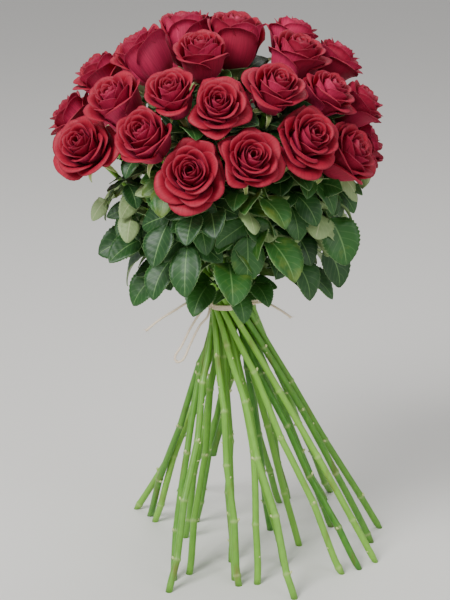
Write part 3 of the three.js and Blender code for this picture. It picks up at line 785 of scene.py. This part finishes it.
def add_leaf(bm, marks, rose, kind, row, n, share=1):
    """One leaf on a rose's stem, bent down along its length. A leaf of the collar keeps to its own sector."""
    dice = random.Random(540 + n)
    shorter, teeth, parts = KINDS[kind]
    start, centre, rise, droop, length = row
    stem_line = rose.upper_line(101)
    if kind == "neck":
        root = next(point for point in stem_line if (point - rose.seat).length <= start)
        from_middle = root - TIE.lerp(DOME, (root.z - TIE.z) / (DOME.z - TIE.z))
        centre += math.degrees(math.atan2(from_middle.y, from_middle.x))
    else:
        uneven = HEIGHT_SPREAD * spread(n + 3) if kind == "collar" else 0
        root = next(point for point in stem_line if point.z >= start + uneven)
    if kind == "collar":
        centre += RING_TURNS[0] - rose.index * 360 / len(ROSES[0])
        centre -= math.degrees(math.atan(SPIRAL * (start - TIE.z)))
    out = towards(centre)
    aside = Vector((-out.y, out.x, 0))
    bend = math.radians(droop + DROOP_SPREAD * spread(n + 7)) / length
    rise = math.radians(rise + RISE_SPREAD * spread(n))
    facing = FACING * out.x * smoothstep(-out.y, -0.4, 0.3)
    size = share * length * (1 + LENGTH_SPREAD * spread(n + 1)) * (1 + shorter * min(0, out.x))
    stalk = size * STALK_SHARE

    def placed(point):
        """A point of the flat leaf, which lies along x, on the bent one."""
        x, y, z = point
        slope = rise - bend * x
        reach = (math.sin(rise) - math.sin(slope)) / bend - z * math.sin(slope)
        lift = (math.cos(slope) - math.cos(rise)) / bend + z * math.cos(slope)
        spot = root + out * reach + aside * y + Vector((0, 0, lift))
        if kind != "collar":
            return spot
        middle = TIE.lerp(DOME, (spot.z - TIE.z) / (DOME.z - TIE.z))
        flat = spot - middle
        off = math.degrees(math.atan2(flat.dot(aside), flat.dot(out)))
        turned = middle + towards(centre + SECTOR * eased(off / SECTOR)) * flat.length
        return spot.lerp(turned, smoothstep(x, 0, stalk * 0.6))

    # Painted shade: the neck leaves of the middle and inner rings, deep between the heads, are made darker.
    tone_here = dice.uniform(-0.15, 0.5) - (PAINTED_SHADE if kind == "neck" and rose.ring else 0)
    line = [placed(Vector((stalk * k / STALK_STEPS, 0, 0))) for k in range(STALK_STEPS + 1)]
    old = set(bm.verts)
    draw_out(bm, marks, line, STALK_SIDES, lambda k, angle: STALK_RADIUS * (1.25 - 0.06 * k))
    for vert in bm.verts:
        if vert not in old:
            vert[marks["across"]], vert[marks["along"]], vert[marks["tone"]] = 0.04, 0.5, tone_here
    bmesh.ops.recalc_face_normals(bm, faces=[face for face in bm.faces if not set(face.verts) & old])
    sheets = []
    for at, turn, long in LEAFLETS:
        length = long * size
        swing = Matrix.Rotation(math.radians(turn + dice.uniform(-5, 5)), 4, "Z")
        set_on = Matrix.Translation((at * stalk - (1 if at == 1 else 0), 0, 0)) @ swing
        tilt = dice.uniform(-0.12, 0.12)
        twist = dice.uniform(-TWISTED, TWISTED) + (TURNED_OVER if dice.random() < OVER_SHARE else 0)
        twist = math.radians(twist + facing * math.cos(math.radians(turn)))
        curl = dice.uniform(-0.06, 0.14)
        widest = LEAFLET_WIDTH / 2 * length * (1 + WIDTH_SPREAD * spread(n + 5))
        sheet = bmesh.ops.create_grid(bm, x_segments=2 * teeth, y_segments=parts, size=1)["verts"]
        for vert in sheet:
            along, across = (vert.co.x + 1) / 2, vert.co.y
            oval = math.sin(math.pi * along**0.85) ** 0.66 if 0 < along < 1 else 0
            between_teeth = round(along * 2 * teeth) % 2 and abs(across) > 0.99
            side = across * max(widest * oval, 0.35) * (TOOTH if between_teeth else 1)
            ribbed = math.cos(2 * math.pi * VEINS * (along - VEIN_SLANT * abs(across)))
            pucker = PUCKER * ribbed * math.sin(math.pi * min(1, abs(across)))
            wave = WAVE * length * math.sin(9 * along + 3 * across + n) * abs(across) ** 2
            lift = FOLD * abs(side) + pucker + tilt * side + wave - curl * length * along**4
            turned = twist * smoothstep(along, 0, 0.3)
            edge_on = Vector((0, math.cos(turned), math.sin(turned))) * side
            up = Vector((0, -math.sin(turned), math.cos(turned))) * lift
            middle = Vector((length * along, 0, -SAG * length * along * along))
            vert.co = placed(set_on @ (middle + edge_on + up))
            vert[marks["along"]], vert[marks["across"]], vert[marks["tone"]] = along, across, tone_here
        sheets += sheet
    return sheets


for rose in roses:
    bm, marks = new_mesh()
    sheets = []
    for level, (first, *row) in enumerate(COLLAR_LEAVES):
        if rose.ring == 0 and rose.index % 2 == first:
            share = SMALL_SHARE if (rose.number, level) in SMALL_LEAVES else 1
            sheets += add_leaf(bm, marks, rose, "collar", row, rose.number + level, share)
    for level, row in enumerate(NECK_LEAVES[rose.ring]):
        if rose.seat.x > BARE_LEFT or abs(row[1]) > 90:
            sheets += add_leaf(bm, marks, rose, "neck", row, rose.number * 3 + level)
    for level, (number, *row) in enumerate(PLACED_LEAVES):
        if number == rose.number:
            sheets += add_leaf(bm, marks, rose, "placed", row, PLACED_SEED + level)
    thicken(bm, marks, sheets, BLADE)
    to_piece(bm, f"leaves_{rose.label}", [leaf_skin], [f"rose_{rose.label}_stem"])

# ---- Blooms ----
# Red garden-type blooms of about thirty petals each, from half-open cups to fully open. The petals are thin
# and velvety, follow each other round a closed middle in a spiral, and roll back at the rim to a soft point.

PETALS = 28
PETAL_TURN = 137.5  # degrees from each petal to the next
# From the innermost petal to the outermost, for a cup and for a full bloom.
RIM = [(3, 3.2), (6, 7), (10, 12.5), (14.5, 19), (19.5, 26), (23.5, 32)]  # radius where the roll starts
TOP = [(51, 43), (52, 43.5), (52, 42), (51, 38.5), (49, 32), (45.5, 23)]  # and its height
LEAN = [(102, 100), (98, 94), (96, 84), (96, 70), (97, 52), (98, 32)]  # slope there, in degrees
SPRING = [(75, 75), (62, 60), (48, 45), (34, 30), (20, 16), (10, 5)]  # slope at the root
ROLL = [(5, 8), (20, 25), (35, 48), (52, 66), (72, 82), (88, 100)]  # in degrees
ROLLED = [(2, 2), (3, 3), (4, 4), (5.5, 6), (7.5, 8), (9.5, 9.5)]  # length that rolls
WRAP = [(118, 118), (96, 96), (76, 76), (64, 64), (58, 58), (56, 56)]  # half-width in degrees
PETAL_ROOT = (2.2, 0.6)  # radius and height
PETAL_SWEEP = 0.42  # how strongly a petal holds its slope at the root and at the rim
TIP_POINT, TIP_ROUND = 0.03, 0.2  # of a petal's length: more at the middle of the rim, and less at its corners
INNER, INNER_PARTS, OUTER_PARTS = 0.45, 8, 12  # depth of the petals with the coarser mesh, and parts each way
PETAL_THICK = 0.4
PINKER = (4, 20, 25, 26)  # roses, from 0, whose petals are all pink on the back
# The darkest red is both the colour of the veins and the painted shade towards the heart of the bloom.
PETAL_FRONT, PETAL_SHADE_AND_VEIN, PETAL_EDGE = 0xAE2038, 0x4C0E1A, 0x701C2C
PETAL_BACK, PETAL_PINK, PETAL_SHEEN = 0xA4203E, 0xE03C6C, 0xE04A72

# Fresh rose petal: a velvet red that scatters light softly at grazing angles, with painted shade deeper towards
# the heart, pinker on the back, with a thin dull edge and faint lengthwise veins. The veins are drawn about 1 mm
# apart.
petal_skin = finish_named(
    "velvet_rose_petal",
    Roughness=0.55,
    Specular_IOR_Level=0.25,
    Sheen_Weight=0.5,
    Sheen_Roughness=0.4,
    Sheen_Tint=linear(PETAL_SHEEN),
)
petal_along = read_mark(petal_skin, "along")
petal_tone = read_mark(petal_skin, "tone")
on_petal = add_node(petal_skin, "CombineXYZ", {0: read_mark(petal_skin, "across"), 1: petal_along, 2: petal_tone})
drawn_out = add_node(petal_skin, "Mapping", {"Vector": on_petal.outputs[0], "Scale": (24, 2.5, 20)}).outputs[0]
veins = noise(petal_skin, drawn_out, 1.0, detail=3.0)
back = blend(petal_skin, ramp(petal_skin, petal_tone, 0.45, 1.0, 0.0, 0.9), PETAL_BACK, PETAL_PINK)
# Painted shade: the front of each petal darkens towards its root, deep in the bloom.
front = blend(petal_skin, ramp(petal_skin, petal_along, 0.25, 0.8, 1.0, 0.0), PETAL_FRONT, PETAL_SHADE_AND_VEIN)
both = blend(petal_skin, read_mark(petal_skin, "side"), back, front)
with_veins = blend(petal_skin, ramp(petal_skin, veins, 0.3, 0.75, 0.0, 0.45), both, PETAL_SHADE_AND_VEIN)
petal_colour = blend(petal_skin, ramp(petal_skin, petal_along, 0.965, 1.0, 0.0, 0.6), with_veins, PETAL_EDGE)
give(petal_skin, Base_Color=petal_colour, Normal=relief(petal_skin, veins, 0.25 * MM, 0.35))


def reading(table, depth, open):
    """A value between a table's rows, at a depth from 0 (innermost) to 1, and between cup and full bloom."""
    at = depth * (len(table) - 1)
    row = min(int(at), len(table) - 2)
    return between((between(table[row], open), between(table[row + 1], open)), at - row)


def side_line(rim, height, spring, lean, points=25):
    """The side view of a petal from its root to where it starts to roll, as radius and height."""
    root, end = Vector((*PETAL_ROOT, 0)), Vector((rim, height, 0))
    pull = (end - root).length * PETAL_SWEEP
    return interpolate_bezier(root, root + polar(pull, spring), end - polar(pull, lean), end, points)


def petal_point(profile, run, column, along, rolled, roll):
    """Radius and height at a share of a column of the petal, whose last stretch rolls back."""
    straight = max(run[-1] * 0.05, column - rolled)
    here = min(along * column, straight)
    k = 0
    while k + 2 < len(run) and run[k + 1] < here:
        k += 1
    share = (here - run[k]) / (run[k + 1] - run[k])
    spot = profile[k].lerp(profile[k + 1], share)
    rest = along * column - straight
    if rest <= 0:
        return spot.x, spot.y
    tangent = profile[k + 1] - profile[k]
    slope = math.atan2(tangent.y, tangent.x)
    curve = roll / rolled
    return (
        spot.x + (math.sin(slope) - math.sin(slope - curve * rest)) / curve,
        spot.y + (math.cos(slope - curve * rest) - math.cos(slope)) / curve,
    )


for rose in roses:
    dice = random.Random(700 + rose.number)
    seat_frame = frame_at(rose.seat, rose.axis, rose.turn)
    bm, marks = new_mesh()
    sheets = []
    for petal in range(PETALS):
        depth = petal / (PETALS - 1)
        turn = math.radians(PETAL_TURN * petal + dice.uniform(-10, 10))
        rim = reading(RIM, depth, rose.open) + dice.uniform(-0.8, 0.8) * depth
        height = reading(TOP, depth, rose.open) + dice.uniform(-1.5, 1) * depth
        lean = math.radians(reading(LEAN, depth, rose.open) + dice.uniform(-6, 6) * depth)
        spring = math.radians(reading(SPRING, depth, rose.open))
        roll = math.radians(reading(ROLL, depth, rose.open) * dice.uniform(0.6, 1.25))
        rolled = reading(ROLLED, depth, rose.open) * dice.uniform(0.75, 1.15)
        wrap = math.radians(reading(WRAP, depth, rose.open) * dice.uniform(0.92, 1.08))
        ruffle = dice.uniform(0.4, 1.3) * min(1, 1.5 * depth)
        ripple = dice.uniform(0, 6.28)
        askew = dice.uniform(-0.05, 0.05)
        tone_here = dice.random()
        if rose.number in PINKER:
            tone_here = 0.6 + 0.4 * tone_here
        profile = side_line(rim, height, spring, lean)
        run = [0]
        for a, b in zip(profile, profile[1:]):
            run.append(run[-1] + (b - a).length)
        full = run[-1] + rolled * 0.5
        parts = INNER_PARTS if depth < INNER else OUTER_PARTS
        sheet = bmesh.ops.create_grid(bm, x_segments=parts, y_segments=parts, size=1)["verts"]
        for vert in sheet:
            across, along = vert.co.x, 1 - (1 - (vert.co.y + 1) / 2) ** 1.35
            tip = TIP_POINT * bump_at(across, 0.25) - TIP_ROUND * abs(across) ** 3.2 + askew * across
            column = min(full * (1 + tip), run[-1] + rolled)
            roll_here = roll * (0.95 - 0.45 * abs(across) ** 1.5)
            radius, up = petal_point(profile, run, column, along, rolled, roll_here)
            angle = turn + across * wrap * math.sqrt(1 - 0.35 * along**7)
            radius += 0.8 * across * min(1, along * 3)  # one side of a petal lies over the next
            radius += ruffle * math.sin(4 * across + ripple) * along**3
            up += 0.6 * ruffle * math.cos(3 * across + 2 * ripple) * along**3
            local = polar(radius, angle, max(up, 0.5))
            vert.co = rose.pressed(seat_frame @ (local * rose.scale))
            vert[marks["along"]], vert[marks["across"]], vert[marks["tone"]] = along, across, tone_here
        sheets += sheet
    thicken(bm, marks, sheets, PETAL_THICK)
    to_piece(bm, f"bloom_{rose.label}", [petal_skin], [f"rose_{rose.label}_head"])

# ---- Floor and light ----
# A plain pale floor, a broad soft light from above on the left, and weaker ones on the right and at the back.

floor_paint = finish_named("floor_paint", Roughness=0.8, Base_Color=linear(0xE4E2DD))
bm = bmesh.new()
bmesh.ops.create_grid(bm, x_segments=1, y_segments=1, size=8)
mesh = bpy.data.meshes.new("floor")
bm.to_mesh(mesh)
bm.free()
mesh.materials.append(floor_paint)
floor = bpy.data.objects.new("floor", mesh)
bpy.context.scene.collection.objects.link(floor)

for name, spot, size, power in [  # in metres and watts
    ("soft_key", (-1.1, -1.3, 2.0), 1.0, 62),
    ("soft_fill", (1.6, -1.6, 1.3), 1.4, 14),
    ("soft_top", (0.2, 0.9, 2.2), 1.2, 14),
]:
    lamp = bpy.data.objects.new(name, bpy.data.lights.new(name, "AREA"))
    lamp.data.size = size
    lamp.data.energy = power
    lamp.location = spot
    aim = Vector((0, 0, 0.38)) - Vector(spot)  # at the middle of the bunch
    lamp.rotation_euler = aim.to_track_quat("-Z", "Y").to_euler()
    bpy.context.scene.collection.objects.link(lamp)

world = bpy.data.worlds.new("soft_room")
world.use_nodes = True
world.node_tree.nodes["Background"].inputs[0].default_value = linear(0xE6E6E8)
world.node_tree.nodes["Background"].inputs[1].default_value = 0.6
bpy.context.scene.world = world
